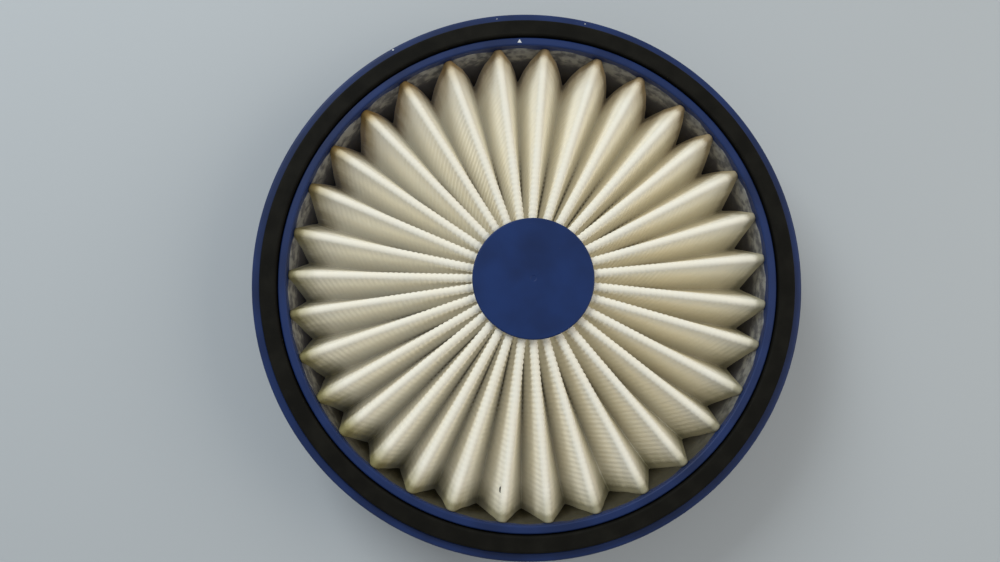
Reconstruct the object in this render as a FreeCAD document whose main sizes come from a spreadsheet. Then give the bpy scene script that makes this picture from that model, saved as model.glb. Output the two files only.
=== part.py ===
import FreeCAD, Part
import Sketcher
import math
import os

# Round pleated vacuum filter in millimetres, +Z up, standing on its foot with the seal side up.
# The origin is the centre of the foot's circle.

SIZES = (
    # Frame ring
    ("rim_diameter", 140.0, "outer rim of the frame"),
    ("wall", 2.1, "thickness of the frame's wall"),
    ("frame_height", 29.0, "foot to the top of the collar"),
    ("rim_width", 2.1, "outer rim beside the seal channel"),
    ("rim_drop", 1.2, "rim top below the collar top"),
    ("channel_depth", 3.0, "seal channel's floor below the collar top"),
    ("flange_thickness", 2.0, "flange under the seal channel"),
    ("ledge_width", 3.0, "inward ledge that carries the pleats"),
    ("ledge_thickness", 2.0, "height of that ledge"),
    ("collar_edge", 0.5, "chamfer of the collar's top edges"),
    ("rim_edge", 0.6, "chamfer of the rim's outer edges"),
    ("foot_edge", 0.8, "lead-in chamfer at the foot"),
    # Seal ring
    ("seal_width", 4.2, "seal across its section"),
    ("seal_clearance", 0.3, "gap on each side of the seal in its channel"),
    ("seal_proud", 0.8, "seal top above the collar top"),
    ("seal_edge", 0.5, "chamfer of the seal's top edges"),
    # Pleated media
    ("pleat_count", 32, "pleats in the full circle"),
    ("pleat_phase", 6.7, "angle of the first ridge from +X, degrees"),
    ("ridge_drop", 1.6, "ridges below the collar top"),
    ("media_thickness", 0.35, "thickness of the filter sheet"),
    ("media_clearance", 0.2, "valleys above the ledge"),
    ("crest_outer", 3.0, "width of a fold's crest at the outer end"),
    ("crest_inner", 1.1, "width of a fold's crest at the inner end"),
    ("hub_diameter", 27.0, "inner ends of the pleats"),
    ("end_gap", 0.4, "outer ends of the pleats short of the wall"),
    # Adhesive bed on the wall
    ("potting_thickness", 1.2, "adhesive bed, wall to its free face"),
    ("potting_rise", 0.3, "adhesive at the wall above the ridges"),
    ("potting_slope", 1.4, "fall of the adhesive's top surface"),
    # Caps over the pleats' inner ends
    ("cap_diameter", 31.0, "flat round cap"),
    ("cap_thickness", 1.6, "thickness of a cap"),
    ("cap_clearance", 0.1, "cap off the folds"),
    ("cap_shift", 1.2, "the upper cap is bonded this far off the axis"),
    ("cap_edge", 0.3, "chamfer of a cap's outer edge"),
    ("gate_diameter", 1.6, "gate mark in the middle of a cap"),
    ("gate_depth", 0.25, "depth of the gate mark"),
)

# Radii and heights that pieces share, as formulas in the sheet's names
RIM = "(Sizes.rim_diameter / 2)"
CHANNEL_OUTSIDE = f"({RIM} - Sizes.rim_width)"
SEAL_OUTSIDE = f"({CHANNEL_OUTSIDE} - Sizes.seal_clearance)"
SEAL_INSIDE = f"({SEAL_OUTSIDE} - Sizes.seal_width)"
COLLAR = f"({SEAL_INSIDE} - Sizes.seal_clearance)"
BORE = f"({COLLAR} - Sizes.wall)"
LEDGE_INSIDE = f"({BORE} - Sizes.ledge_width)"
FOOT = "0"
COLLAR_TOP = "Sizes.frame_height"
RIM_TOP = f"({COLLAR_TOP} - Sizes.rim_drop)"
CHANNEL_FLOOR = f"({COLLAR_TOP} - Sizes.channel_depth)"
FLANGE_UNDERSIDE = f"({CHANNEL_FLOOR} - Sizes.flange_thickness)"
LEDGE_TOP = "Sizes.ledge_thickness"
SEAL_TOP = f"({COLLAR_TOP} + Sizes.seal_proud)"
RIDGE_TOP = f"({COLLAR_TOP} - Sizes.ridge_drop)"
VALLEY_BOTTOM = f"({LEDGE_TOP} + Sizes.media_clearance)"
HUB = "(Sizes.hub_diameter / 2)"
MEDIA_END = f"({BORE} - Sizes.end_gap)"
POTTING_INSIDE = f"({BORE} - Sizes.potting_thickness)"
POTTING_TOP = f"({RIDGE_TOP} + Sizes.potting_rise)"
POTTING_LIP = f"({POTTING_TOP} - Sizes.potting_slope)"
CAP = "(Sizes.cap_diameter / 2)"
UPPER_CAP_SEAT = f"({RIDGE_TOP} + Sizes.cap_clearance)"
LOWER_CAP_SEAT = f"({VALLEY_BOTTOM} - Sizes.cap_clearance)"

# Sketch references: the origin, the two axes and the points of an edge
ORIGIN = (-1, 1)
HORIZONTAL_AXIS, VERTICAL_AXIS = range(-1, -3, -1)
START, END, CENTRE = range(1, 4)
# Two lengths closer than this are the same, mm
SAME = 1e-4

doc = FreeCAD.newDocument("vacuum_filter")
sheet = doc.addObject("Spreadsheet::Sheet", "Sizes")
for row, (alias, value, note) in enumerate(SIZES, start=1):
    sheet.set(f"A{row}", note)
    sheet.set(f"B{row}", str(value))
    sheet.setAlias(f"B{row}", alias)
doc.recompute()


def value_of(formula):
    """Number that a formula in the sheet's names gives."""
    return float(sheet.evalExpression(formula))


def new_body(label):
    """Empty body with a label of its own."""
    body = doc.addObject("PartDesign::Body", label)
    body.Label = label
    return body


def origin_feature(body, role):
    """The body's own origin plane or axis in that role."""
    return next(item for item in body.Origin.OriginFeatures if item.Role == role)


def new_sketch(body, name, plane, offset=FOOT):
    """Sketch on one of the body's origin planes, moved along its normal by a formula."""
    sketch = body.newObject("Sketcher::SketchObject", name)
    sketch.AttachmentSupport = [(origin_feature(body, plane), "")]
    sketch.MapMode = "FlatFace"
    sketch.setExpression("AttachmentOffset.Base.z", offset)
    return sketch


def relate(sketch, kind, *items):
    """Geometric constraint between edges or points of a sketch."""
    sketch.addConstraint(Sketcher.Constraint(kind, *items))


def dimension(sketch, name, formula, kind, *items):
    """Driving dimension of a sketch, bound to a formula."""
    index = sketch.addConstraint(Sketcher.Constraint(kind, *items, value_of(formula)))
    sketch.renameConstraint(index, name)
    sketch.setExpression(f"Constraints.{name}", formula)


def draw_polygon(sketch, points):
    """Closed chain of straight edges, edge n starting at point n."""
    count = len(points)
    for edge, point in enumerate(points):
        sketch.addGeometry(Part.LineSegment(point, points[(edge + 1) % count]))
    for edge in range(count):
        relate(sketch, "Coincident", edge, END, (edge + 1) % count, START)


def circle_sketch(body, name, diameter, offset=FOOT):
    """Sketch of one circle about the body's Z axis, moved up by a formula."""
    sketch = new_sketch(body, name, "XY_Plane", offset)
    sketch.addGeometry(Part.Circle(FreeCAD.Vector(), FreeCAD.Vector(0, 0, 1), value_of(diameter) / 2))
    relate(sketch, "Coincident", 0, CENTRE, *ORIGIN)
    dimension(sketch, "diameter", diameter, "Diameter", 0)
    return sketch


def revolved(body, name, corners):
    """Solid of revolution about Z from the corners of its section, pairs of radius and height."""
    sketch = new_sketch(body, f"{name}_section", "XZ_Plane")
    draw_polygon(sketch, [FreeCAD.Vector(value_of(radius), value_of(height)) for radius, height in corners])
    for edge, (radius, height) in enumerate(corners):
        dimension(sketch, f"radius_{edge}", radius, "DistanceX", *ORIGIN, edge, START)
        if height == FOOT:
            relate(sketch, "PointOnObject", edge, START, HORIZONTAL_AXIS)
        else:
            dimension(sketch, f"height_{edge}", height, "DistanceY", *ORIGIN, edge, START)
    solid = body.newObject("PartDesign::Revolution", name)
    solid.Profile = sketch
    solid.ReferenceAxis = (sketch, ["V_Axis"])
    solid.Angle = 360
    doc.recompute()


def ring_edges(shape, rings):
    """Names of the circular edges at the given pairs of radius and height."""
    wanted = [(value_of(radius), value_of(height)) for radius, height in rings]
    names = []
    for index, edge in enumerate(shape.Edges, start=1):
        if not isinstance(edge.Curve, Part.Circle):
            continue
        found = (edge.Curve.Radius, edge.Curve.Center.z)
        if any(math.dist(found, place) < SAME for place in wanted):
            names.append(f"Edge{index}")
    return names


def edge_chamfer(body, name, rings, size):
    """Chamfer on the ring edges of the body's last solid."""
    base = body.Tip
    feature = body.newObject("PartDesign::Chamfer", name)
    feature.Base = (base, ring_edges(base.Shape, rings))
    feature.setExpression("Size", size)
    doc.recompute()


def padded_disc(body, name, diameter, thickness):
    """Round plate on the body's XY plane."""
    pad = body.newObject("PartDesign::Pad", name)
    pad.Profile = circle_sketch(body, f"{name}_outline", diameter)
    pad.setExpression("Length", thickness)
    doc.recompute()


# Frame ring: wall with an inward ledge at the foot, and a flange with the seal's channel
def make_frame():
    body = new_body("frame_ring")
    revolved(body, "frame_moulding", (
        (LEDGE_INSIDE, FOOT),
        (COLLAR, FOOT),
        (COLLAR, FLANGE_UNDERSIDE),
        (RIM, FLANGE_UNDERSIDE),
        (RIM, RIM_TOP),
        (CHANNEL_OUTSIDE, RIM_TOP),
        (CHANNEL_OUTSIDE, CHANNEL_FLOOR),
        (COLLAR, CHANNEL_FLOOR),
        (COLLAR, COLLAR_TOP),
        (BORE, COLLAR_TOP),
        (BORE, LEDGE_TOP),
        (LEDGE_INSIDE, LEDGE_TOP),
    ))
    edge_chamfer(body, "collar_edges", ((COLLAR, COLLAR_TOP), (BORE, COLLAR_TOP)), "Sizes.collar_edge")
    edge_chamfer(body, "rim_edges", ((RIM, RIM_TOP), (RIM, FLANGE_UNDERSIDE)), "Sizes.rim_edge")
    edge_chamfer(body, "foot_edge", ((COLLAR, FOOT),), "Sizes.foot_edge")
    return body


# Seal ring: flat-topped rubber ring that stands on the channel's floor
def make_seal():
    body = new_body("seal_ring")
    revolved(body, "seal_moulding", (
        (SEAL_INSIDE, CHANNEL_FLOOR),
        (SEAL_OUTSIDE, CHANNEL_FLOOR),
        (SEAL_OUTSIDE, SEAL_TOP),
        (SEAL_INSIDE, SEAL_TOP),
    ))
    edge_chamfer(body, "seal_edges", ((SEAL_INSIDE, SEAL_TOP), (SEAL_OUTSIDE, SEAL_TOP)), "Sizes.seal_edge")
    return body


def pleat_section(body, name, radius, crest):
    """Section of one pleat at a radius: a flat crest between two half valleys of the same width.

    The sheet's lower face is its upper face moved in and down by the sheet's thickness.
    """
    half_pitch = f"({radius} * tan(180 deg / Sizes.pleat_count))"
    wide = f"({crest} / 2)"
    narrow = f"({wide} - Sizes.media_thickness)"
    upper_valley = f"({VALLEY_BOTTOM} + Sizes.media_thickness)"
    lower_ridge = f"({RIDGE_TOP} - Sizes.media_thickness)"
    right_half = (
        (wide, RIDGE_TOP),
        (f"({half_pitch} - {narrow})", upper_valley),
        (half_pitch, upper_valley),
        (half_pitch, VALLEY_BOTTOM),
        (f"({half_pitch} - {wide})", VALLEY_BOTTOM),
        (narrow, lower_ridge),
    )
    points = [FreeCAD.Vector(value_of(across), value_of(height)) for across, height in right_half]
    points += [FreeCAD.Vector(-point.x, point.y) for point in reversed(points)]
    sketch = new_sketch(body, name, "YZ_Plane", radius)
    draw_polygon(sketch, points)
    for edge, (across, height) in enumerate(right_half):
        mirrored_edge = len(points) - 1 - edge
        dimension(sketch, f"across_{edge}", across, "DistanceX", *ORIGIN, edge, START)
        dimension(sketch, f"height_{edge}", height, "DistanceY", *ORIGIN, edge, START)
        relate(sketch, "Symmetric", edge, START, mirrored_edge, START, VERTICAL_AXIS)
    return sketch


# Pleated media: one folded sheet closed into a rosette, straight folds running out from the hub
def make_media():
    body = new_body("pleated_media")
    pleat = body.newObject("PartDesign::AdditiveLoft", "pleat")
    pleat.Profile = pleat_section(body, "inner_section", HUB, "Sizes.crest_inner")
    pleat.Sections = [pleat_section(body, "outer_section", MEDIA_END, "Sizes.crest_outer")]
    pleat.Ruled = True
    doc.recompute()
    rosette = body.newObject("PartDesign::PolarPattern", "rosette")
    rosette.Originals = [pleat]
    rosette.Axis = (origin_feature(body, "Z_Axis"), [""])
    rosette.Angle = 360
    rosette.setExpression("Occurrences", "Sizes.pleat_count")
    body.Tip = rosette
    body.setExpression("Placement.Rotation.Angle", "Sizes.pleat_phase")
    doc.recompute()
    return body


# Adhesive bed: ring on the wall, on the ledge, with the pleats' outer ends sunk into it
def make_rim_potting(media):
    ring = new_body("potting_ring")
    revolved(ring, "potting_fill", (
        (POTTING_INSIDE, LEDGE_TOP),
        (BORE, LEDGE_TOP),
        (BORE, POTTING_TOP),
        (POTTING_INSIDE, POTTING_LIP),
    ))
    bed = doc.addObject("Part::Cut", "rim_potting")
    bed.Label = "rim_potting"
    bed.Base = ring
    bed.Tool = media
    doc.recompute()
    return bed


# Core: adhesive plug that closes the inner ends of the pleats between the two caps
def make_core():
    body = new_body("core_potting")
    padded_disc(body, "core_plug", "Sizes.hub_diameter", f"{UPPER_CAP_SEAT} - {LOWER_CAP_SEAT}")
    body.setExpression("Placement.Base.z", LOWER_CAP_SEAT)
    doc.recompute()
    return body


# Cap: flat moulded disc with a broken outer edge and a gate mark in its middle
def make_cap(label, seat, turn, shift):
    body = new_body(label)
    padded_disc(body, f"{label}_plate", "Sizes.cap_diameter", "Sizes.cap_thickness")
    edge_chamfer(body, f"{label}_edge", ((CAP, "Sizes.cap_thickness"),), "Sizes.cap_edge")
    gate = body.newObject("PartDesign::Pocket", f"{label}_gate")
    gate.Profile = circle_sketch(body, f"{label}_gate_outline", "Sizes.gate_diameter", "Sizes.cap_thickness")
    gate.setExpression("Length", "Sizes.gate_depth")
    body.Placement.Rotation = FreeCAD.Rotation(FreeCAD.Vector(1, 0, 0), turn)
    body.setExpression("Placement.Base.x", shift)
    body.setExpression("Placement.Base.z", seat)
    doc.recompute()
    return body


media = make_media()
pieces = [
    make_frame(),
    make_seal(),
    media,
    make_rim_potting(media),
    make_core(),
    make_cap("upper_cap", UPPER_CAP_SEAT, 0, "Sizes.cap_shift"),
    make_cap("lower_cap", LOWER_CAP_SEAT, 180, FOOT),
]
doc.recompute()

for item in doc.Objects:
    if "Invalid" in item.State or "Error" in item.State:
        raise RuntimeError(f"{item.Name} did not build: {item.State}")
for piece in pieces:
    shape = piece.Shape
    if shape.isNull() or not shape.isValid() or len(shape.Solids) != 1:
        raise RuntimeError(f"{piece.Label} is not one valid solid")

os.makedirs("parts", exist_ok=True)
for piece in pieces:
    piece.Shape.exportStep(f"parts/{piece.Label}.step")
    box = piece.Shape.BoundBox
    print(f"{piece.Label}: {len(piece.Shape.Faces)} faces, {piece.Shape.Volume / 1000:.2f} cm3, "
          f"z {box.ZMin:.2f} to {box.ZMax:.2f}, x {box.XMin:.2f} to {box.XMax:.2f}")
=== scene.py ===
"""Looks of a round pleated vacuum filter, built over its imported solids.

Lengths are metres in the part's own frame: +Z up out of the seal side, +X to the right and +Y up
in the photograph. Sizes that read better in millimetres are multiplied by MM.
"""

import logging
import math
from collections.abc import Sequence
from dataclasses import dataclass, field
from enum import Enum
from typing import NamedTuple

import bpy
import numpy as np
from mathutils import Matrix, Vector

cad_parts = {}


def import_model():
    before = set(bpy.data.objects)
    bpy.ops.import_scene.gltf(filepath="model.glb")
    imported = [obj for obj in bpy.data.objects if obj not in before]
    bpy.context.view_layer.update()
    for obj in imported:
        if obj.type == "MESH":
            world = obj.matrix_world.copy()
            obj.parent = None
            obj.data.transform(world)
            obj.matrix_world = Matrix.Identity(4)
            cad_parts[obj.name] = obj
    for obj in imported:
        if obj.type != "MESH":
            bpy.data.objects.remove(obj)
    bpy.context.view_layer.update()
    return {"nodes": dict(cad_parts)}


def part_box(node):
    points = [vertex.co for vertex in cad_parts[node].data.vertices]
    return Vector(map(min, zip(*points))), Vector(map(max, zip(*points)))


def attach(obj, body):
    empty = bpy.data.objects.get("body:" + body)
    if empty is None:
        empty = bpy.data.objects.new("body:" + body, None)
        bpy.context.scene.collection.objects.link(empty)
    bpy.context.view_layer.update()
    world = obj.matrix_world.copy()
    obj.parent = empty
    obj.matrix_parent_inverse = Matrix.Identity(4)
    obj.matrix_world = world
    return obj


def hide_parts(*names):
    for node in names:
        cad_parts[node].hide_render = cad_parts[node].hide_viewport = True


LOG = logging.getLogger("vacuum_filter")
MM = 0.001
BODY = "root"
FLAT_FACE_WEIGHT = 100

Colour = tuple[float, float, float]
Pair = tuple[float, float]


class Node(Enum):
    """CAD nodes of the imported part."""

    FRAME = "frame_ring"
    SEAL = "seal_ring"
    MEDIA = "pleated_media"
    BED = "rim_potting"
    CORE = "core_potting"
    UPPER_CAP = "upper_cap"
    LOWER_CAP = "lower_cap"


class Slot(Enum):
    """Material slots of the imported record."""

    FRAME = "frame_plastic"
    SEAL = "seal_rubber"
    SHEET = "filter_sheet"
    ADHESIVE = "adhesive"
    CAP = "cap_plastic"


@dataclass(frozen=True)
class Span:
    """Box of one CAD node at rest.

    Attributes:
        low: Lowest corner.
        high: Highest corner.
    """

    low: Vector
    high: Vector

    @classmethod
    def of(cls, node: Node) -> "Span":
        """Box of a CAD node.

        Args:
            node: The node to measure.

        Returns:
            Its box in the part's frame.
        """
        return cls(*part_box(node.value))

    @property
    def radius(self) -> float:
        """Half the box's width, the radius of a round node."""
        return (self.high.x - self.low.x) / 2

    @property
    def centre(self) -> Vector:
        """Middle of the box."""
        return (self.low + self.high) / 2


class Socket:
    """One output inside a shader, with arithmetic that adds the nodes it needs."""

    def __init__(self, shader: "Shader", output: bpy.types.NodeSocket) -> None:
        """Wraps an output.

        Args:
            shader: The shader that the output belongs to.
            output: The node's output.
        """
        self.shader = shader
        self.output = output

    def __add__(self, other: "Socket | float") -> "Socket":
        """This plus the other."""
        return self.shader.maths("ADD", self, other)

    def __radd__(self, other: float) -> "Socket":
        """The other plus this."""
        return self.shader.maths("ADD", other, self)

    def __sub__(self, other: "Socket | float") -> "Socket":
        """This less the other."""
        return self.shader.maths("SUBTRACT", self, other)

    def __rsub__(self, other: float) -> "Socket":
        """The other less this."""
        return self.shader.maths("SUBTRACT", other, self)

    def __mul__(self, other: "Socket | float") -> "Socket":
        """This times the other."""
        return self.shader.maths("MULTIPLY", self, other)

    def __rmul__(self, other: float) -> "Socket":
        """The other times this."""
        return self.shader.maths("MULTIPLY", other, self)

    def ramp(self, start: float, end: float) -> "Socket":
        """Smooth step of this value.

        Args:
            start: Value that gives 0.
            end: Value that gives 1; it may be below start.

        Returns:
            A value from 0 to 1.
        """
        node = self.shader.node(
            "ShaderNodeMapRange",
            {"interpolation_type": "SMOOTHSTEP"},
            {"Value": self, "From Min": start, "From Max": end},
        )
        return Socket(self.shader, node.outputs["Result"])

    def between(self, low: float, high: float) -> "Socket":
        """Straight scale: 0 gives low and 1 gives high."""
        return self * (high - low) + low


class Shader:
    """A material's node tree with one principled surface."""

    def __init__(self, name: str) -> None:
        """Makes an empty material.

        Args:
            name: The material's name.
        """
        self.material = bpy.data.materials.new(name)
        self.material.use_nodes = True
        self.tree = self.material.node_tree
        self.surface = self.tree.nodes["Principled BSDF"]

    def node(self, kind: str, settings: dict[str, object], values: dict[str | int, object]) -> bpy.types.Node:
        """Adds any node.

        Args:
            kind: The node's type.
            settings: Its properties, set first.
            values: Its inputs by name or number, each a Socket to link or a constant.

        Returns:
            The new node.
        """
        made = self.tree.nodes.new(kind)
        for name, value in settings.items():
            setattr(made, name, value)
        self.fill(made, values)
        return made

    def fill(self, node: bpy.types.Node, values: dict[str | int, object]) -> None:
        """Links or sets a node's inputs.

        Args:
            node: The node.
            values: Its inputs by name or number.
        """
        for key, value in values.items():
            if isinstance(value, Socket):
                self.tree.links.new(value.output, node.inputs[key])
            else:
                node.inputs[key].default_value = value

    def maths(self, operation: str, *values: Socket | float) -> Socket:
        """One Math node.

        Args:
            operation: The node's operation.
            values: Its operands in order.

        Returns:
            The result.
        """
        made = self.node("ShaderNodeMath", {"operation": operation}, dict(enumerate(values)))
        return Socket(self, made.outputs[0])

    def mix(self, share: Socket | float, first: Socket | Colour, second: Socket | Colour) -> Socket:
        """Mixes two colours.

        Args:
            share: How much of the second colour shows.
            first: Colour at share 0.
            second: Colour at share 1.

        Returns:
            The mixed colour.
        """
        colours = [value if isinstance(value, Socket) else (*value, 1.0) for value in (first, second)]
        made = self.node("ShaderNodeMix", {"data_type": "RGBA"}, {0: share, 6: colours[0], 7: colours[1]})
        return Socket(self, made.outputs[2])

    def place(self) -> Socket:
        """Position in the part's frame, as a vector."""
        return Socket(self, self.node("ShaderNodeTexCoord", {}, {}).outputs["Object"])

    def split(self, vector: Socket) -> tuple[Socket, ...]:
        """The three parts of a vector.

        Args:
            vector: The vector.

        Returns:
            Its x, y and z.
        """
        parts = self.node("ShaderNodeSeparateXYZ", {}, {0: vector}).outputs
        return tuple(Socket(self, output) for output in parts)

    def facing_up(self, blur: float = 0.02) -> Socket:
        """Which way the surface looks.

        Args:
            blur: Half the change-over, in the upward part of the normal.

        Returns:
            1 where it looks up, however steep it is, and 0 where it looks down.
        """
        normal = Socket(self, self.node("ShaderNodeNewGeometry", {}, {}).outputs["Normal"])
        return self.split(normal)[2].ramp(-blur, blur)

    def noise(self, size: float, detail: float = 3.0) -> Socket:
        """Soft random pattern around 0.5.

        Args:
            size: Width of its patches in metres.
            detail: Number of finer layers.

        Returns:
            The pattern's value.
        """
        values = {"Vector": self.place(), "Scale": 1 / size, "Detail": detail}
        return Socket(self, self.node("ShaderNodeTexNoise", {}, values).outputs["Fac"])


@dataclass(frozen=True)
class Grain:
    """Fine random relief of a surface.

    Attributes:
        size: Width of its patches.
        detail: Number of finer layers.
        strength: Share of the relief that shows.
        depth: Height of the relief.
    """

    size: float
    detail: float
    strength: float
    depth: float

    def pattern(self, shader: Shader) -> Socket:
        """The relief as a value around 0.5."""
        return shader.noise(self.size, self.detail)

    def normal(self, shader: Shader, pattern: Socket) -> Socket:
        """The surface normal that the relief gives."""
        values = {"Strength": self.strength, "Distance": self.depth, "Height": pattern}
        return Socket(shader, shader.node("ShaderNodeBump", {}, values).outputs["Normal"])


@dataclass(frozen=True)
class Dust:
    """Pale specks that lie in patches.

    Attributes:
        colour: Colour of a speck.
        spacing: Usual distance between specks.
        share: Radius of a speck as a share of the spacing.
        patch: Width of the patches.
        gather: Values of the patches' pattern where specks start and where all show.
        solid: Share of a speck's radius that is at full strength.
    """

    colour: Colour
    spacing: float
    share: float
    patch: float
    gather: Pair
    solid: float = 0.6

    def over(self, shader: Shader, body: Socket, strength: float) -> Socket:
        """Lays the specks over a colour.

        Args:
            shader: The shader to add to.
            body: The colour under the specks.
            strength: How strongly they show.

        Returns:
            The dusty colour.
        """
        values = {"Vector": shader.place(), "Scale": 1 / self.spacing}
        cells = Socket(shader, shader.node("ShaderNodeTexVoronoi", {}, values).outputs["Distance"])
        specks = cells.ramp(self.share, self.share * self.solid) * shader.noise(self.patch).ramp(*self.gather)
        return shader.mix(specks * strength, body, self.colour)


@dataclass(frozen=True)
class MouldedPlastic:
    """Satin moulded plastic with faint clouding and dust.

    Attributes:
        colour: Colour of the plastic.
        dust: How strongly the specks show.
        specks: The dust on it.
        grain: Its fine relief.
        cloud: Width of the clouds and number of finer layers.
        cloud_window: Values of the clouds' pattern that are darkest and lightest.
        clouding: How much the clouds darken and lighten the colour.
        roughness: Roughness at the clouds' lowest and highest values.
        specular: Strength of its reflection.
    """

    colour: Colour
    dust: float = 0.35
    specks: Dust = Dust((0.20, 0.22, 0.26), 2.6 * MM, 0.035, 9 * MM, (0.45, 0.7))
    grain: Grain = Grain(0.25 * MM, 2.0, 0.25, 0.02 * MM)
    cloud: Pair = (14 * MM, 3.0)
    cloud_window: Pair = (0.3, 0.7)
    clouding: float = 0.22
    roughness: Pair = (0.42, 0.54)
    specular: float = 0.25

    def material(self, name: str) -> bpy.types.Material:
        """Builds the finish.

        Args:
            name: The material's name.

        Returns:
            The material.
        """
        shader = Shader(name)
        clouds = shader.noise(*self.cloud)
        darker = tuple(value * (1 - self.clouding) for value in self.colour)
        lighter = tuple(value * (1 + self.clouding) for value in self.colour)
        body = shader.mix(clouds.ramp(*self.cloud_window), darker, lighter)
        shader.fill(shader.surface, {
            "Base Color": self.specks.over(shader, body, self.dust),
            "Roughness": clouds.between(*self.roughness),
            "Normal": self.grain.normal(shader, self.grain.pattern(shader)),
            "Specular IOR Level": self.specular,
        })
        return shader.material


@dataclass(frozen=True)
class Rubber:
    """Black matt rubber, a little dusty.

    Attributes:
        colour: Colour of the rubber.
        dusty: Colour where fine dust lies.
        dust: How strongly the specks show.
        specks: The specks on it.
        grain: Its fine relief.
        cloud: Width of the clouds of fine dust and number of finer layers.
        cloud_window: Values of the clouds' pattern that are cleanest and dustiest.
        roughness: Roughness at the grain's lowest and highest values.
        specular: Strength of its reflection.
    """

    colour: Colour = (0.0050, 0.0046, 0.0032)
    dusty: Colour = (0.0095, 0.0088, 0.0064)
    dust: float = 0.3
    specks: Dust = Dust((0.12, 0.11, 0.10), 1.9 * MM, 0.03, 12 * MM, (0.5, 0.7))
    grain: Grain = Grain(0.35 * MM, 3.0, 0.35, 0.04 * MM)
    cloud: Pair = (6 * MM, 5.0)
    cloud_window: Pair = (0.35, 0.75)
    roughness: Pair = (0.62, 0.82)
    specular: float = 0.1

    def material(self, name: str) -> bpy.types.Material:
        """Builds the finish.

        Args:
            name: The material's name.

        Returns:
            The material.
        """
        shader = Shader(name)
        clouds = shader.noise(*self.cloud)
        grain = self.grain.pattern(shader)
        body = shader.mix(clouds.ramp(*self.cloud_window), self.colour, self.dusty)
        shader.fill(shader.surface, {
            "Base Color": self.specks.over(shader, body, self.dust),
            "Roughness": grain.between(*self.roughness),
            "Normal": self.grain.normal(shader, grain),
            "Specular IOR Level": self.specular,
        })
        return shader.material


class Sides(NamedTuple):
    """Where a point of the rosette lies, as values from 0 to 1.

    Attributes:
        depth: How deep in a groove.
        near: How far to the near side.
        far: How far to the far side.
        left: How far to the left.
    """

    depth: Socket
    near: Socket
    far: Socket
    left: Socket


@dataclass(frozen=True)
class EndMark:
    """A mark along the sheet's end at the wall.

    Attributes:
        colour: Its colour.
        far_colour: Its colour on the far side.
        start: Distance from the wall where it starts to show.
        full: Distance from the wall where it shows in full.
        ragged: How far the sheet's patches shift its border.
        hairs: How far the sheet's fibres shift its border.
        base: How strongly it shows everywhere.
        shares: How much more it shows in depth, near, far and on the left; the extra in depth and on the near
            side is painted shade.
    """

    colour: Colour
    far_colour: Colour
    start: float
    full: float
    ragged: float
    hairs: float
    base: float
    shares: tuple[float, float, float, float]

    def share(self, to_wall: Socket, patches: Socket, fibres: Socket, sides: Sides) -> Socket:
        """How much of the mark shows.

        Args:
            to_wall: Distance from the wall.
            patches: Pattern of the sheet's patches.
            fibres: Pattern of its fibres.
            sides: Where the point lies.

        Returns:
            0 off the mark, and more the stronger it shows.
        """
        shifted = to_wall - (patches - 0.5) * self.ragged - (fibres - 0.5) * self.hairs
        strength = self.base + sum(side * share for side, share in zip(sides, self.shares))
        return shifted.ramp(self.start, self.full) * strength

    def over(self, shader: Shader, body: Socket, share: Socket, far: Socket) -> Socket:
        """The colour of a body with a share of the mark on it."""
        return shader.mix(share, body, shader.mix(far, self.colour, self.far_colour))


# Soiling at the pleats' ends; its extra strength in the grooves and on the near side is painted shade.
SOILED_AND_SHADED_END = EndMark(
    (0.40, 0.355, 0.18), (0.58, 0.45, 0.24), start=8.0 * MM, full=1.0 * MM, ragged=6.0 * MM, hairs=0.0,
    base=0.1, shares=(0.25, 0.4, 0.4, 0.6),
)
# Cut edge at the wall; its small extra strength in the grooves is painted shade.
FRAYED_EDGE = EndMark(
    (0.15, 0.13, 0.045), (0.24, 0.14, 0.035), start=3.0 * MM, full=1.1 * MM, ragged=2.5 * MM, hairs=1.0 * MM,
    base=0.6, shares=(0.15, 0.0, 0.15, 0.15),
)


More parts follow.
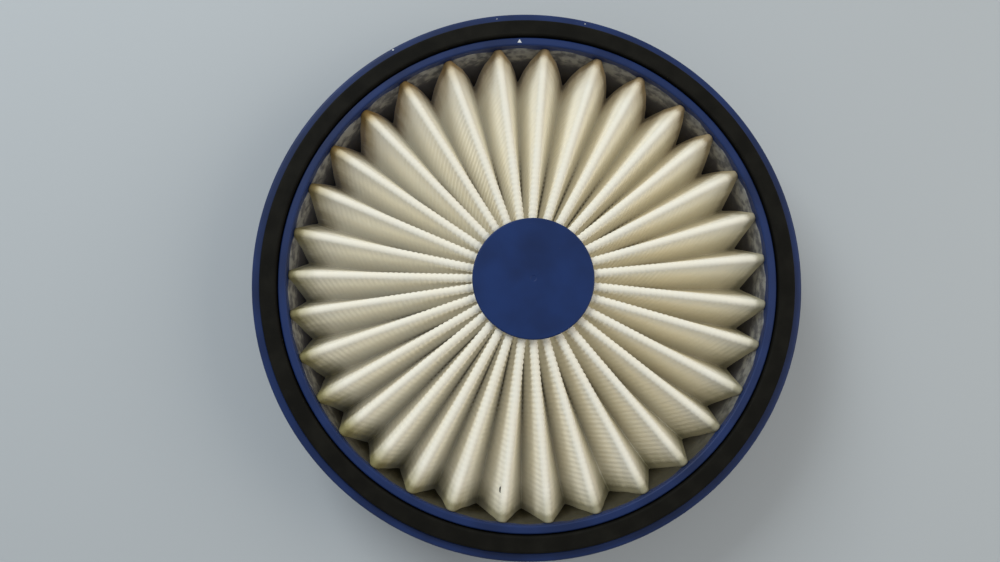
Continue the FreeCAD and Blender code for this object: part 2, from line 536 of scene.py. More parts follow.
@dataclass(frozen=True)
class FilterSheet:
    """Cream fibrous sheet, discoloured where it meets the wall, with painted shade deepening that in the
    grooves and on the near side.

    Attributes:
        end_radius: Radius where the sheet meets the wall.
        low: Height of the valleys.
        high: Height of the ridges.
        clean: Colour of the sheet.
        worn: Slightly duller tone of the sheet.
        worn_window: Values of the patches' pattern that are clean and worn.
        worn_shares: Share of the worn tone in a patch and in depth.
        patch: Width of the patches and number of finer layers.
        grain: Its fibres.
        end_soiling_and_shade: Soiling of the pleats' ends, deepened by painted shade in the grooves and on
            the near side.
        fringe: The cut edge at the wall.
        near_span: Values of y where the near side starts and where it is full.
        far_span: The same for the far side.
        left_span: Values of x where the left starts and where it is full.
        cool_scatter: Light that keeps bouncing between two panels, on the left.
        warm_scatter: The same on the right.
        scatter_span: Values of x from the cool to the warm scatter.
        scatter_depth: Depths where the scatter starts and where it is full.
        fade_depth: Depths where it starts to fade and where it has faded.
        fade: Share that fades, away from the near side and on it.
        losses: Shares of it that the near side, the soiling with its painted shade and the cut edge take.
        roughness: The surface's roughness.
        specular: Strength of its reflection.
    """

    end_radius: float
    low: float
    high: float
    clean: Colour = (0.885, 0.832, 0.70)
    worn: Colour = (0.855, 0.83, 0.74)
    worn_window: Pair = (0.35, 0.75)
    worn_shares: Pair = (0.5, 0.3)
    patch: Pair = (7 * MM, 4.0)
    grain: Grain = Grain(0.45 * MM, 4.0, 0.5, 0.08 * MM)
    end_soiling_and_shade: EndMark = SOILED_AND_SHADED_END
    fringe: EndMark = FRAYED_EDGE
    near_span: Pair = (20 * MM, -50 * MM)
    far_span: Pair = (0.0, 50 * MM)
    left_span: Pair = (0.0, -55 * MM)
    cool_scatter: Colour = (0.068, 0.070, 0.066)
    warm_scatter: Colour = (0.070, 0.064, 0.045)
    scatter_span: Pair = (-50 * MM, 50 * MM)
    scatter_depth: Pair = (0.03, 0.35)
    fade_depth: Pair = (0.45, 0.95)
    fade: Pair = (0.25, 0.60)
    losses: tuple[float, float, float] = (0.3, 0.4, 0.3)
    roughness: float = 0.9
    specular: float = 0.15

    def material(self, name: str) -> bpy.types.Material:
        """Builds the finish.

        Args:
            name: The material's name.

        Returns:
            The material.
        """
        shader = Shader(name)
        x, y, height = shader.split(shader.place())
        up = shader.facing_up()
        from_top = (self.high - height) * (1 / (self.high - self.low))
        sides = Sides(
            depth=from_top * up + (1.0 - from_top) * (1.0 - up),
            near=y.ramp(*self.near_span),
            far=y.ramp(*self.far_span),
            left=x.ramp(*self.left_span),
        )
        patches = shader.noise(*self.patch)
        fibres = self.grain.pattern(shader)
        in_patch, in_depth = self.worn_shares
        worn = patches.ramp(*self.worn_window) * in_patch + sides.depth * in_depth
        to_wall = self.end_radius - shader.maths("SQRT", x * x + y * y)
        # Share of the soiling, with painted shade in the grooves and on the near side.
        soiling_and_shade = self.end_soiling_and_shade.share(to_wall, patches, fibres, sides)
        edge = self.fringe.share(to_wall, patches, fibres, sides)
        stained = self.end_soiling_and_shade.over(shader, shader.mix(worn, self.clean, self.worn), soiling_and_shade, sides.far)
        faded = sides.depth.ramp(*self.fade_depth) * sides.near.between(*self.fade)
        lit = sides.depth.ramp(*self.scatter_depth) * (1.0 - faded)
        for cover, loss in zip((sides.near, soiling_and_shade, edge), self.losses):
            lit = lit * (1.0 - cover * loss)
        scatter = shader.mix(x.ramp(*self.scatter_span), self.cool_scatter, self.warm_scatter)
        shader.fill(shader.surface, {
            "Base Color": self.fringe.over(shader, stained, edge, sides.far),
            "Roughness": self.roughness,
            "Normal": self.grain.normal(shader, fibres),
            "Specular IOR Level": self.specular,
            "Emission Color": shader.mix(lit, (0.0, 0.0, 0.0), scatter),
            "Emission Strength": 1.0,
        })
        return shader.material


@dataclass(frozen=True)
class Adhesive:
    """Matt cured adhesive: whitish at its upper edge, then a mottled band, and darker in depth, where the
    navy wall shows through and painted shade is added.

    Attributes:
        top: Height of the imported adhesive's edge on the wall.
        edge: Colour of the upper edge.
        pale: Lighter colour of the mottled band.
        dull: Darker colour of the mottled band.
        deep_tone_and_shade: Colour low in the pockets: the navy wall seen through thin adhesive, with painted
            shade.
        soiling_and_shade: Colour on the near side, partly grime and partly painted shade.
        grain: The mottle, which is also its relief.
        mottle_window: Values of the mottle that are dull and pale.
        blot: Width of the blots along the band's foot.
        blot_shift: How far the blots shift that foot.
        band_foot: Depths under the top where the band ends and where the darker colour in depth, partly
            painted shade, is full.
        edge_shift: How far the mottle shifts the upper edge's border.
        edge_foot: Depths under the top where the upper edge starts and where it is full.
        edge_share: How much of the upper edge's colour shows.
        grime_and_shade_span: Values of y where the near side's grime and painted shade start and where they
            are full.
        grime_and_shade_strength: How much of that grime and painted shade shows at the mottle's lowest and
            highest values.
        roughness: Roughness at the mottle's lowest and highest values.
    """

    top: float
    edge: Colour = (0.34, 0.34, 0.32)
    pale: Colour = (0.25, 0.245, 0.23)
    dull: Colour = (0.11, 0.108, 0.112)
    deep_tone_and_shade: Colour = (0.070, 0.069, 0.080)
    soiling_and_shade: Colour = (0.058, 0.052, 0.033)
    grain: Grain = Grain(2.4 * MM, 4.0, 0.4, 0.3 * MM)
    mottle_window: Pair = (0.38, 0.62)
    blot: float = 5.0 * MM
    blot_shift: float = 6.0 * MM
    band_foot: Pair = (6.0 * MM, 10.5 * MM)
    edge_shift: float = 1.0 * MM
    edge_foot: Pair = (1.1 * MM, 0.6 * MM)
    edge_share: float = 0.8
    grime_and_shade_span: Pair = (-15 * MM, -50 * MM)
    grime_and_shade_strength: Pair = (0.8, 1.1)
    roughness: Pair = (0.5, 0.7)

    def material(self, name: str) -> bpy.types.Material:
        """Builds the finish.

        Args:
            name: The material's name.

        Returns:
            The material.
        """
        shader = Shader(name)
        _, y, height = shader.split(shader.place())
        under = self.top - height
        mottle = self.grain.pattern(shader)
        blots = shader.noise(self.blot)
        band = shader.mix(mottle.ramp(*self.mottle_window), self.dull, self.pale)
        # Darker in depth: partly the navy wall seen through thin adhesive, partly painted shade of the
        # pockets.
        depth_darkening_and_shade = (under - (blots - 0.5) * self.blot_shift).ramp(*self.band_foot)
        crest = (under - (mottle - 0.5) * self.edge_shift).ramp(*self.edge_foot)
        body = shader.mix(crest * self.edge_share, shader.mix(depth_darkening_and_shade, band, self.deep_tone_and_shade), self.edge)
        # Darker olive towards the near side: partly grime, partly painted shade.
        grime_and_shade = y.ramp(*self.grime_and_shade_span) * mottle.between(*self.grime_and_shade_strength)
        shader.fill(shader.surface, {
            "Base Color": shader.mix(grime_and_shade, body, self.soiling_and_shade),
            "Roughness": mottle.between(*self.roughness),
            "Normal": self.grain.normal(shader, mottle),
            "Specular IOR Level": 0.0,
        })
        return shader.material


@dataclass(frozen=True)
class PlainFinish:
    """One even colour.

    Attributes:
        colour: The colour.
        roughness: The surface's roughness.
    """

    colour: Colour
    roughness: float = 0.8

    def material(self, name: str) -> bpy.types.Material:
        """Builds the finish.

        Args:
            name: The material's name.

        Returns:
            The material.
        """
        shader = Shader(name)
        shader.fill(shader.surface, {"Base Color": (*self.colour, 1.0), "Roughness": self.roughness})
        return shader.material


@dataclass(frozen=True)
class Corner:
    """One corner of a turned section.

    Attributes:
        radius: Distance from the axis in millimetres.
        height: Height in millimetres.
        rounding: Radius of the corner's rounding in millimetres.
    """

    radius: float
    height: float
    rounding: float = 0.15

    @property
    def point(self) -> np.ndarray:
        """Radius and height."""
        return np.array((self.radius, self.height))


def rounded_outline(corners: Sequence[Corner], steps: int) -> np.ndarray:
    """Closed section with rounded corners.

    Args:
        corners: The corners in order.
        steps: Chords in each rounding.

    Returns:
        Rows of radius and height in millimetres.
    """
    points = []
    for index, corner in enumerate(corners):
        to_last = corners[index - 1].point - corner.point
        to_next = corners[(index + 1) % len(corners)].point - corner.point
        to_last /= np.linalg.norm(to_last)
        to_next /= np.linalg.norm(to_next)
        half = math.acos(float(np.clip(to_last @ to_next, -1, 1))) / 2
        bisector = to_last + to_next
        bisector /= np.linalg.norm(bisector)
        centre = corner.point + bisector * corner.rounding / math.sin(half)
        setback = corner.rounding / math.tan(half)
        first = corner.point + to_last * setback - centre
        last = corner.point + to_next * setback - centre
        for share in np.linspace(0, 1, steps + 1):
            spoke = first * (1 - share) + last * share
            points.append(centre + spoke / np.linalg.norm(spoke) * corner.rounding)
    return np.array(points)


def mesh_object(name: str, points: np.ndarray, faces: Sequence[Sequence[int]]) -> bpy.types.Object:
    """Smooth mesh in the scene.

    Args:
        name: The object's name.
        points: Rows of x, y and z in metres.
        faces: Vertex numbers of each face.

    Returns:
        The object.
    """
    mesh = bpy.data.meshes.new(name)
    mesh.from_pydata(points.tolist(), [], [list(face) for face in faces])
    mesh.validate()
    mesh.shade_smooth()
    made = bpy.data.objects.new(name, mesh)
    bpy.context.scene.collection.objects.link(made)
    return made


def grid_faces(
    rows: int, columns: int, closed_rows: bool, start: int = 0, flip: bool = False
) -> list[list[int]]:
    """Quads of a grid whose columns close round the axis.

    Args:
        rows: Number of rows.
        columns: Vertices in a row.
        closed_rows: Whether the last row joins the first.
        start: Number of the first vertex.
        flip: Whether the faces look the other way.

    Returns:
        Vertex numbers of each quad.
    """
    faces = []
    for row in range(rows if closed_rows else rows - 1):
        following = (row + 1) % rows
        for column in range(columns):
            beside = (column + 1) % columns
            quad = [
                start + row * columns + column,
                start + row * columns + beside,
                start + following * columns + beside,
                start + following * columns + column,
            ]
            faces.append(quad[::-1] if flip else quad)
    return faces


def round_points(radius: np.ndarray, angle: np.ndarray, height: np.ndarray | float) -> np.ndarray:
    """Points given about the part's axis.

    Args:
        radius: Distances from the axis.
        angle: Angles in radians.
        height: Heights.

    Returns:
        The points, with x, y and z along the last axis.
    """
    parts = np.broadcast_arrays(radius * np.cos(angle), radius * np.sin(angle), height)
    return np.stack(parts, axis=-1)


def turned(
    name: str, corners: Sequence[Corner], centre: Vector, segments: int = 288, rounding_steps: int = 5
) -> bpy.types.Object:
    """Ring or disc turned about a vertical axis.

    Args:
        name: The object's name.
        corners: Its section, counter-clockwise in radius and height.
        centre: A point on its axis; only x and y count.
        segments: Chords in the full circle.
        rounding_steps: Chords in the rounding of a corner.

    Returns:
        The object.
    """
    section = rounded_outline(corners, rounding_steps) * MM
    angles = np.linspace(0, 2 * math.pi, segments, endpoint=False)
    points = round_points(section[:, :1], angles, section[:, 1:]) + (centre.x, centre.y, 0.0)
    made = mesh_object(name, points.reshape(-1, 3), grid_faces(len(section), segments, True, flip=True))
    even = made.modifiers.new("flat_faces", "WEIGHTED_NORMAL")
    even.weight = FLAT_FACE_WEIGHT
    return made


def dress(piece: bpy.types.Object, node: Node, material: bpy.types.Material) -> None:
    """Ties a piece to the part and gives it its finish.

    Args:
        piece: The piece.
        node: The CAD node it stands for.
        material: Its material.
    """
    piece.data.materials.append(material)
    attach(piece, BODY)
    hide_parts(node.value)


@dataclass
class FrameRing:
    """The blue moulding: wall, collar, seal channel, rim and foot ledge, in millimetres.

    Attributes:
        finish: Its plastic.
        wall: Thickness of the wall.
        rim_width: Width of the rim.
        rim_drop: How far the rim stays below the collar.
        channel: Width of the seal's channel.
        channel_depth: Depth of the channel under the collar.
        flange: Thickness of the flange under the channel.
        ledge_width: How far the foot's ledge reaches inwards.
        ledge_height: Height of the ledge.
        piece: The object once it is built.
    """

    finish: MouldedPlastic = MouldedPlastic((0.0082, 0.0225, 0.0920))
    wall: float = 2.1
    rim_width: float = 2.1
    rim_drop: float = 1.2
    channel: float = 4.8
    channel_depth: float = 3.0
    flange: float = 2.0
    ledge_width: float = 3.0
    ledge_height: float = 2.0
    piece: bpy.types.Object | None = None

    def build(self) -> None:
        """Turns the moulding with its rounded edges."""
        span = Span.of(Node.FRAME)
        rim, top = span.radius / MM, span.high.z / MM
        rim_top = top - self.rim_drop
        channel_outside = rim - self.rim_width
        collar = channel_outside - self.channel
        bore = collar - self.wall
        ledge = bore - self.ledge_width
        floor = top - self.channel_depth
        under = floor - self.flange
        self.piece = turned("frame_moulding", (
            Corner(ledge, 0.0, 0.3),
            Corner(collar, 0.0, 0.8),
            Corner(collar, under, 0.4),
            Corner(rim, under, 0.6),
            Corner(rim, rim_top, 0.7),
            Corner(channel_outside, rim_top, 0.25),
            Corner(channel_outside, floor, 0.2),
            Corner(collar, floor, 0.2),
            Corner(collar, top, 0.45),
            Corner(bore, top, 0.5),
            Corner(bore, self.ledge_height, 0.3),
            Corner(ledge, self.ledge_height, 0.3),
        ), Vector())

    def dress(self) -> None:
        """Gives the moulding its plastic."""
        dress(self.piece, Node.FRAME, self.finish.material("frame_blue"))


@dataclass
class SealRing:
    """The black rubber ring in the channel, in millimetres.

    Attributes:
        finish: Its rubber.
        width: Width of the ring.
        piece: The object once it is built.
    """

    finish: Rubber = Rubber()
    width: float = 4.2
    piece: bpy.types.Object | None = None

    def build(self) -> None:
        """Turns the ring with its rounded top edges."""
        span = Span.of(Node.SEAL)
        outside, low, high = span.radius / MM, span.low.z / MM, span.high.z / MM
        inside = outside - self.width
        self.piece = turned("seal", (
            Corner(inside, low),
            Corner(outside, low),
            Corner(outside, high, 0.6),
            Corner(inside, high, 0.6),
        ), Vector())

    def dress(self) -> None:
        """Gives the ring its rubber."""
        dress(self.piece, Node.SEAL, self.finish.material("seal_black"))


@dataclass
class Cap:
    """Flat blue disc over the pleats' ends, with a gate mark in its middle, in millimetres.

    Attributes:
        node: The CAD node it stands for.
        faces_up: Whether its outer face looks up.
        finish: Its plastic.
        gate_radius: Radius of the gate mark at the outer face.
        gate_foot: Radius of the gate mark's floor.
        gate_depth: Depth of the gate mark.
        hole: Radius left open on the axis.
        piece: The object once it is built.
    """

    node: Node
    faces_up: bool
    finish: MouldedPlastic = MouldedPlastic((0.0048, 0.0220, 0.1020), dust=0.5)
    gate_radius: float = 0.8
    gate_foot: float = 0.64
    gate_depth: float = 0.07
    hole: float = 0.02
    piece: bpy.types.Object | None = None

    def build(self) -> None:
        """Turns the disc."""
        span = Span.of(self.node)
        radius, low, high = span.radius / MM, span.low.z / MM, span.high.z / MM
        outer, inner = (high, low) if self.faces_up else (low, high)
        sunk = outer - self.gate_depth if self.faces_up else outer + self.gate_depth
        corners = [
            Corner(self.hole, inner, 0.005),
            Corner(radius, inner, 0.1),
            Corner(radius, outer, 0.35),
            Corner(self.gate_radius, outer, 0.05),
            Corner(self.gate_foot, sunk, 0.05),
            Corner(self.hole, sunk, 0.005),
        ]
        if not self.faces_up:
            corners.reverse()
        self.piece = turned(f"{self.node.value}_disc", corners, span.centre)

    def dress(self) -> None:
        """Gives the disc its plastic."""
        name = f"{self.node.value}_blue"
        dress(self.piece, self.node, self.finish.material(name))


@dataclass
class AdhesiveCore:
    """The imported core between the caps, which keeps its own mesh.

    Attributes:
        piece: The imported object.
        finish: Its plain grey.
    """

    piece: bpy.types.Object
    finish: PlainFinish = PlainFinish((0.34, 0.33, 0.29))

    def dress(self) -> None:
        """Gives the core its grey."""
        self.piece.data.materials.clear()
        self.piece.data.materials.append(self.finish.material("core_grey"))


@dataclass
class PleatLine:
    """Where the folds run, shared by the sheet and the adhesive.

    Attributes:
        count: Number of pleats.
        first: Angle of the first ridge in degrees.
        drift: Unevenness of the spacing, once round the circle, in degrees.
        drift_at: Angle where the drift peaks, in degrees.
        squeeze: Unevenness of the spacing, twice round the circle, in degrees.
        squeeze_at: Angle where the squeeze peaks, in degrees.
        jitter: Random part of each angle in degrees.
        seed: Seed of the random part.
    """

    count: int = 32
    first: float = 6.7
    drift: float = 2.5
    drift_at: float = 156.0
    squeeze: float = 2.3
    squeeze_at: float = 148.5
    jitter: float = 0.33
    seed: int = 19247

    def ridges(self) -> np.ndarray:
        """Works out where the ridges run.

        Returns:
            Angles of the ridges in radians.
        """
        even = self.first + np.arange(self.count) * 360 / self.count
        uneven = self.drift * np.cos(np.radians(even - self.drift_at))
        uneven += self.squeeze * np.cos(np.radians(2 * (even - self.squeeze_at)))
        loose = np.random.default_rng(self.seed).normal(0, self.jitter, self.count)
        return np.radians(even + uneven + loose)

    def valleys(self) -> np.ndarray:
        """Works out where the valleys run, midway between ridges.

        Returns:
            Angle of the valley after each ridge in radians.
        """
        ridges = self.ridges()
        following = np.append(ridges[1:], ridges[0] + 2 * math.pi)
        return (ridges + following) / 2


@dataclass
class PleatedMedia:
    """One corrugated sheet folded into a rosette.

    Attributes:
        lines: Where the folds run.
        thickness: Thickness of the sheet.
        hub_radius: Radius of the sheet's inner end.
        wave: Pitch of the fine corrugation along a fold.
        wave_rows: Rows of points in one wave.
        relief: Height of the corrugation at the hub and at the wall.
        smooth_ridge: Share of the corrugation that the folds press flat.
        ridge_round: Radius of a ridge's fold at the hub and at the wall.
        valley_round: Radius of a valley's fold at the hub and at the wall.
        bow: Outward bow of the far panels at the wall.
        bow_range: Least and greatest random share of the bow.
        bow_shift: Below 1, moves the bow's middle towards the ridge.
        bow_power: How late the bow grows on the way to the wall.
        far_power: How late a panel counts as far on the way round.
        lift: How far the near valleys rise at the wall.
        lift_power: How late they rise on the way to the wall.
        uneven_height: Spread of the ridges' heights.
        seed: Seed of the random parts.
        ridge_steps: Chords in half a ridge's fold.
        panel_steps: Chords across a panel.
        valley_steps: Chords in half a valley's fold.
        piece: The object once it is built.
        span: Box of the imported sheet.
    """

    lines: PleatLine
    thickness: float = 0.35 * MM
    hub_radius: float = 13.5 * MM
    wave: float = 1.4 * MM
    wave_rows: int = 4
    relief: Pair = (0.25 * MM, 0.08 * MM)
    smooth_ridge: float = 0.82
    ridge_round: Pair = (0.88 * MM, 1.05 * MM)
    valley_round: Pair = (0.12 * MM, 0.25 * MM)
    bow: float = 0.85 * MM
    bow_range: Pair = (0.7, 1.2)
    bow_shift: float = 0.8
    bow_power: int = 3
    far_power: float = 1.5
    lift: float = 4.0 * MM
    lift_power: int = 8
    uneven_height: float = 0.15 * MM
    seed: int = 11
    ridge_steps: int = 3
    panel_steps: int = 3
    valley_steps: int = 2
    piece: bpy.types.Object | None = None
    span: Span = field(default_factory=lambda: Span.of(Node.MEDIA))

    def half_section(
        self, half_pitch: np.ndarray, along: np.ndarray, drop: float, bow: float, lift: float, offset: float
    ) -> tuple[np.ndarray, np.ndarray, np.ndarray, np.ndarray]:
        """Half a pleat from its ridge to its valley, at every row.

        Args:
            half_pitch: Distance from ridge to valley round the circle, at each row.
            along: Share of the way from the hub to the wall, at each row.
            drop: How far this ridge stays below the highest.
            bow: Outward bow of the panel in its middle.
            lift: How far the valley rises at the wall.
            offset: Distance of this face from the sheet's upper face, inwards.

        Returns:
            Distance from the ridge, height, and the normal's two parts, each as rows by columns.
        """
        top = self.span.high.z - max(self.relief) * (1 - self.smooth_ridge) - drop
        bottom = self.span.low.z + self.thickness + lift * along ** self.lift_power
        fold = np.interp(along, (0, 1), self.ridge_round)
        dip = np.interp(along, (0, 1), self.valley_round)
        rise = top - bottom - fold - dip
        reach = np.hypot(half_pitch, rise)
        lean = np.arccos(np.clip((fold + dip) / reach, -1, 1)) - np.arctan2(rise, half_pitch)
        columns = []
        for share in np.linspace(0, 1, self.ridge_steps + 1):
            turn = math.pi / 2 + (lean - math.pi / 2) * share
            columns.append((fold * np.cos(turn), top - fold + fold * np.sin(turn), turn))
        start = (fold * np.cos(lean), top - fold + fold * np.sin(lean))
        end = (half_pitch - dip * np.cos(lean), bottom + dip - dip * np.sin(lean))
        for share in np.linspace(0, 1, self.panel_steps + 1)[1:-1]:
            swell = bow * math.sin(math.pi * share ** self.bow_shift) * along ** self.bow_power
            x = start[0] + (end[0] - start[0]) * share + swell * np.cos(lean)
            z = start[1] + (end[1] - start[1]) * share + swell * np.sin(lean)
            columns.append((x, z, lean))
        for share in np.linspace(0, 1, self.valley_steps + 1):
            turn = lean + (math.pi / 2 - lean) * share
            columns.append((half_pitch - dip * np.cos(turn), bottom + dip - dip * np.sin(turn), turn))
        across, height, turn = (np.stack(values, axis=1) for values in zip(*columns))
        out, up = np.cos(turn), np.sin(turn)
        return across - offset * out, height - offset * up, out, up

    def face(self, radii: np.ndarray, offset: float, relief: np.ndarray) -> np.ndarray:
        """Points of one face of the sheet.

        Args:
            radii: Radius of each row.
            offset: Distance of this face from the sheet's upper face.
            relief: Height of the corrugation at each row.

        Returns:
            Rows by columns of points.
        """
        draw = np.random.default_rng(self.seed)
        ridges, valleys = self.lines.ridges(), self.lines.valleys()
        along = (radii - self.hub_radius) / (self.span.radius - self.hub_radius)
        columns = []
        for index, ridge in enumerate(ridges):
            drop = abs(draw.normal(0, self.uneven_height))
            before = valleys[index - 1] - (2 * math.pi if index == 0 else 0)
            for valley, way in ((before, -1), (valleys[index], 1)):
                far = max(0.0, math.sin(valley)) ** self.far_power
                bow = self.bow * draw.uniform(*self.bow_range) * far
                lift = self.lift * (1 - far)
                half_pitch = radii * abs(valley - ridge)
                across, height, out, up = self.half_section(half_pitch, along, drop, bow, lift, offset)
                beads = relief[:, None] * (1 - self.smooth_ridge * up ** 2)
                across += out * beads
                height += up * beads
                angle = ridge + way * across / radii[:, None]
                points = round_points(radii[:, None], angle, height)
                columns.append(points[:, :0:-1] if way < 0 else points[:, :-1])
        return np.concatenate(columns, axis=1)

    def build(self) -> None:
        """Folds the sheet: a corrugated upper face, a plain lower face and their two end edges."""
        length = self.span.radius - self.hub_radius
        waves = round(length / self.wave)
        fine = np.linspace(self.hub_radius, self.span.radius, waves * self.wave_rows + 1)
        coarse = fine[:: self.wave_rows]
        beads = np.abs(np.sin(math.pi * waves * (fine - self.hub_radius) / length))
        upper = self.face(fine, 0.0, beads * np.linspace(*self.relief, len(fine)))
        lower = self.face(coarse, self.thickness, np.zeros_like(coarse))
        columns = upper.shape[1]
        points = np.concatenate([upper.reshape(-1, 3), lower.reshape(-1, 3)])
        below = upper.shape[0] * columns
        faces = grid_faces(len(fine), columns, False, flip=True)
        faces += grid_faces(len(coarse), columns, False, start=below)
        outer_up, outer_down = below - columns, len(points) - columns
        for column in range(columns):
            beside = (column + 1) % columns
            faces.append([column, beside, below + beside, below + column])
            faces.append([outer_up + beside, outer_up + column, outer_down + column, outer_down + beside])
        self.piece = mesh_object("folded_sheet", points, faces)

    def dress(self) -> None:
        """Gives the sheet its finish."""
        finish = FilterSheet(self.span.radius, self.span.low.z, self.span.high.z)
        dress(self.piece, Node.MEDIA, finish.material("sheet_cream"))


@dataclass
class AdhesiveBed:
    """Adhesive on the wall that holds the pleats' outer ends.

    Attributes:
        lines: Where the folds run.
        segments: Chords in the full circle.
        edge_drop: How far the bed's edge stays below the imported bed's.
        sag: How far the edge dips, once in each pleat's width.
        ripple: Random rise and fall of the edge.
        edge_waves: Waves of that ripple in the full circle, one layer each.
        thickness: Usual thickness of the bed.
        bumps: Random change of the thickness.
        face_waves: Waves of that change in the full circle, one layer each.
        hollow: Steps of the hollow top, each a share of the thickness and a drop below the edge.
        sunk: How far the bed goes into the wall.
        seed: Seed of the random parts.
        piece: The object once it is built.
        span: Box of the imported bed.
    """

    lines: PleatLine
    segments: int = 768
    edge_drop: float = 0.7 * MM
    sag: float = 0.9 * MM
    ripple: float = 0.25 * MM
    edge_waves: tuple[int, ...] = (41, 67, 97)
    thickness: float = 0.5 * MM
    bumps: float = 0.2 * MM
    face_waves: tuple[int, ...] = (23, 53, 79, 131)
    hollow: tuple[Pair, ...] = (
        (0.0, 0.0), (0.30, 0.5 * MM), (0.55, 1.2 * MM), (0.75, 2.4 * MM), (0.9, 4.2 * MM), (1.0, 7.0 * MM),
    )
    sunk: float = 0.05 * MM
    seed: int = 23
    piece: bpy.types.Object | None = None
    span: Span = field(default_factory=lambda: Span.of(Node.BED))

    def ripples(self, angles: np.ndarray, waves: Sequence[int]) -> np.ndarray:
        """Random smooth waviness round the ring.

        Args:
            angles: Angles in radians.
            waves: Waves in the full circle, one layer each.

        Returns:
            Values of about -1 to 1.
        """
        draw = np.random.default_rng(self.seed + len(waves))
        layers = [np.sin(angles * wave + draw.uniform(0, 2 * math.pi)) for wave in waves]
        return np.sum(layers, axis=0) / len(waves)

    def build(self) -> None:
        """Lays the bed with a hollow top and an edge that dips once in each pleat's width."""
        angles = np.linspace(0, 2 * math.pi, self.segments, endpoint=False)
        ridges = self.lines.ridges()
        folds = np.append(ridges, ridges + 2 * math.pi) - ridges[0]
        dips = np.sin(math.pi * np.interp(angles, folds, np.arange(len(folds)))) ** 2
        wall, low, high = self.span.radius + self.sunk, self.span.low.z, self.span.high.z
        top = high - self.edge_drop - self.sag * dips + self.ripple * self.ripples(angles, self.edge_waves)
        face = wall - self.thickness + self.bumps * self.ripples(angles, self.face_waves)
        rows = [(wall + (face - wall) * share, top - drop) for share, drop in self.hollow]
        rows += [(face, low), (wall, low)]
        points = np.stack([round_points(radius, angles, height) for radius, height in rows])
        faces = grid_faces(len(rows), self.segments, True)
        self.piece = mesh_object("adhesive_bed", points.reshape(-1, 3), faces)

    def dress(self) -> None:
        """Gives the bed its finish."""
        material = Adhesive(self.span.high.z).material("adhesive_grey")
        dress(self.piece, Node.BED, material)


@dataclass
class Photograph:
    """The camera that the photograph was taken with.

    Attributes:
        width: Width of the picture in pixels.
        height: Height of the picture in pixels.
        focal: Focal length in pixels.
        eye: Where the camera is.
        forward: Where it looks.
        up: Direction that is up in the picture.
        sensor: Width of the sensor in millimetres, which only sets the lens's scale.
        clip: Nearest and farthest distance that is seen.
    """

    width: int = 1000
    height: int = 562
    focal: float = 830.0
    eye: Vector = field(default_factory=lambda: Vector((-0.0118, -0.0223, 0.2372)))
    forward: Vector = field(default_factory=lambda: Vector((0.0217, 0.1036, -1.0)).normalized())
    up: Vector = field(default_factory=lambda: Vector((0.0, 1.0, 0.0)))
    sensor: float = 36.0
    clip: Pair = (0.01, 20.0)

    def axes(self) -> tuple[Vector, Vector]:
        """The picture's right and up directions."""
        right = self.forward.cross(self.up).normalized()
        return right, right.cross(self.forward)

    def ray(self, x: float, y: float) -> Vector:
        """Direction seen at a pixel.

        Args:
            x: Pixels from the picture's left side.
            y: Pixels from its top.

        Returns:
            The direction from the eye.
        """
        right, up = self.axes()
        across, above = right * (x - self.width / 2), up * (self.height / 2 - y)
        return (self.forward * self.focal + across + above).normalized()

    def build(self) -> None:
        """Makes the scene's camera."""
        right, up = self.axes()
        data = bpy.data.cameras.new("camera")
        data.sensor_width = self.sensor
        data.lens = self.sensor * self.focal / self.width
        data.clip_start, data.clip_end = self.clip
        camera = bpy.data.objects.new("camera", data)
        turn = Matrix((right, up, -self.forward)).transposed().to_4x4()
        camera.matrix_world = Matrix.Translation(self.eye) @ turn
        bpy.context.scene.collection.objects.link(camera)
        bpy.context.scene.camera = camera


@dataclass(frozen=True)
class Fleck:
    """A small fleck seen in the photograph.

    Attributes:
        name: The object's name.
        x: Pixels from the picture's left side.
        y: Pixels from its top.
        size: Width of the fleck.
        corners: Corners of its outline.
        colour: Its colour.
        thickness: How far it stands out, and how far it is sunk.
        uneven: Least and greatest random share of the size at a corner.
        taper: Width of its top as a share of its foot.
    """

    name: str
    x: float
    y: float
    size: float
    corners: int
    colour: Colour
    thickness: float = 0.06 * MM
    uneven: Pair = (0.75, 1.15)
    taper: float = 0.7

    def build(self, carrier: bpy.types.Object, photo: Photograph) -> bpy.types.Object:
        """Lays the fleck on what carries it.

        Args:
            carrier: The piece under it.
            photo: The camera whose picture places it.

        Returns:
            The fleck.
        """
        found, spot, normal, _ = carrier.ray_cast(photo.eye, photo.ray(self.x, self.y))
        if not found:
            raise ValueError(f"{self.name} has nothing under it")
        draw = np.random.default_rng(round(self.x))
        turns = np.linspace(0, 2 * math.pi, self.corners, endpoint=False) + math.pi / 2
        reach = self.size / 2 * draw.uniform(*self.uneven, self.corners)
        ring = [Vector((r * math.cos(t), r * math.sin(t), 0)) for r, t in zip(reach, turns)]
        lift = Vector((0, 0, self.thickness))
        turn = normal.to_track_quat("Z", "Y")
        points = [spot + turn @ (point - lift) for point in ring]
        points += [spot + turn @ (point * self.taper + lift) for point in ring]
        count = self.corners
        faces = [list(range(count))[::-1], list(range(count, 2 * count))]
        faces += [[i, (i + 1) % count, count + (i + 1) % count, count + i] for i in range(count)]
        made = mesh_object(self.name, np.array(points), faces)
        made.data.shade_flat()
        made.data.materials.append(PlainFinish(self.colour).material(self.name))
        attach(made, BODY)
        return made


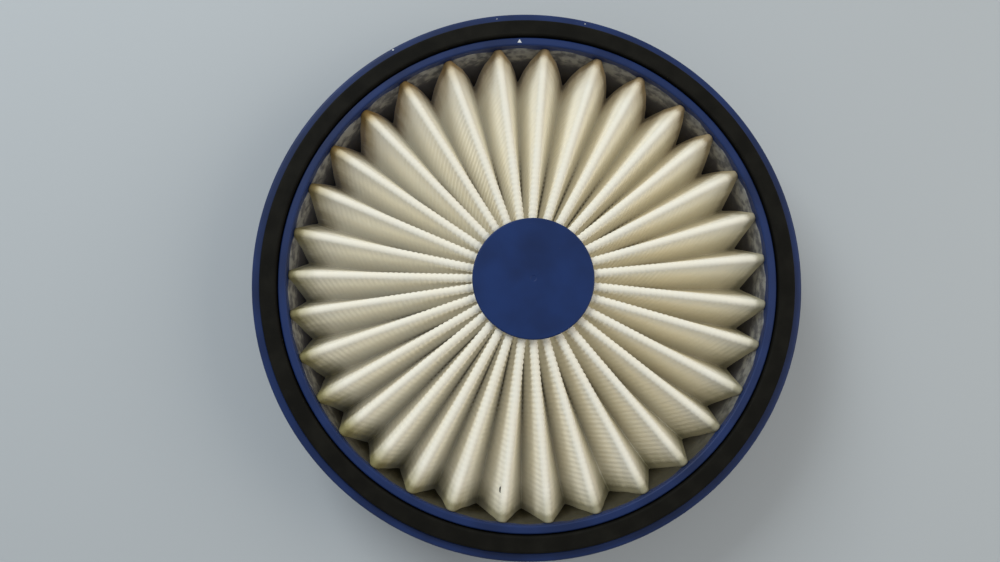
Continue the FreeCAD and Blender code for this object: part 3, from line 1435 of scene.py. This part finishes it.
@dataclass(frozen=True)
class AreaLight:
    """One soft square light that looks at the part's foot.

    Attributes:
        place: Where it hangs.
        width: Its width.
        power: Its power in watts.
        colour: Its colour.
    """

    place: tuple[float, float, float]
    width: float
    power: float
    colour: Colour

    def hang(self, name: str) -> None:
        """Hangs the light.

        Args:
            name: The light's name.
        """
        data = bpy.data.lights.new(name, "AREA")
        data.size, data.energy, data.color = self.width, self.power, self.colour
        light = bpy.data.objects.new(name, data)
        light.location = self.place
        light.rotation_euler = Vector(self.place).to_track_quat("Z", "Y").to_euler()
        bpy.context.scene.collection.objects.link(light)


class LightRole(Enum):
    """Area lights of the studio."""

    KEY = AreaLight((-0.40, 0.52, 0.58), 0.42, 4.4, (0.91, 0.97, 1.0))
    FILL = AreaLight((0.60, 0.05, 0.55), 0.50, 1.8, (1.0, 0.92, 0.80))


@dataclass
class Studio:
    """Plain pale floor and soft light.

    Attributes:
        floor: Finish of the floor.
        floor_half: Half the floor's width.
        sky: Colour of the light from all round.
        sky_strength: Its strength.
    """

    floor: PlainFinish = PlainFinish((0.46, 0.49, 0.51), 0.7)
    floor_half: float = 3.0
    sky: Colour = (0.93, 0.97, 1.0)
    sky_strength: float = 0.42

    def build(self) -> None:
        """Lays the floor and hangs the lights."""
        half = self.floor_half
        corners = np.array([(-half, -half, 0), (half, -half, 0), (half, half, 0), (-half, half, 0)])
        floor = mesh_object("floor", corners, [[0, 1, 2, 3]])
        floor.data.materials.append(self.floor.material("floor_pale"))
        for role in LightRole:
            role.value.hang(role.name.lower())
        world = bpy.data.worlds.new("studio")
        world.use_nodes = True
        back = world.node_tree.nodes["Background"]
        back.inputs["Color"].default_value = (*self.sky, 1.0)
        back.inputs["Strength"].default_value = self.sky_strength
        bpy.context.scene.world = world
        bpy.context.scene.view_settings.view_transform = "Standard"


WHITE_FLECK = (0.62, 0.63, 0.64)
DARK_SPECK = (0.006, 0.005, 0.004)
RING_FLECKS = (
    Fleck("collar_fleck", 519.5, 41.5, 1.5 * MM, 3, WHITE_FLECK),
    Fleck("rim_fleck_left", 393.0, 50.0, 0.55 * MM, 5, WHITE_FLECK),
    Fleck("rim_fleck_right", 585.0, 24.0, 0.35 * MM, 5, WHITE_FLECK),
    Fleck("rim_fleck_top", 497.0, 19.0, 0.3 * MM, 5, WHITE_FLECK),
)
SHEET_FLECKS = (Fleck("sheet_speck", 500.0, 490.0, 1.9 * MM, 5, DARK_SPECK),)


def report(piece: bpy.types.Object) -> None:
    """Logs a piece's name and its number of faces."""
    LOG.info("%s: %d faces", piece.name, len(piece.data.polygons))


def main() -> None:
    """Builds and dresses the filter, then the studio round it."""
    logging.basicConfig(level=logging.INFO)
    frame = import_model()
    lines = PleatLine()
    ring, seal, media, bed = FrameRing(), SealRing(), PleatedMedia(lines), AdhesiveBed(lines)
    caps = Cap(Node.UPPER_CAP, True), Cap(Node.LOWER_CAP, False)
    for assembly in (ring, seal, media, bed, *caps):
        assembly.build()
        assembly.dress()
        report(assembly.piece)
    core = AdhesiveCore(frame["nodes"][Node.CORE.value])
    core.dress()
    report(core.piece)
    photo = Photograph()
    photo.build()
    bpy.context.view_layer.update()
    for carrier, flecks in ((ring, RING_FLECKS), (media, SHEET_FLECKS)):
        for fleck in flecks:
            report(fleck.build(carrier.piece, photo))
    Studio().build()


if __name__ == "__main__":
    main()
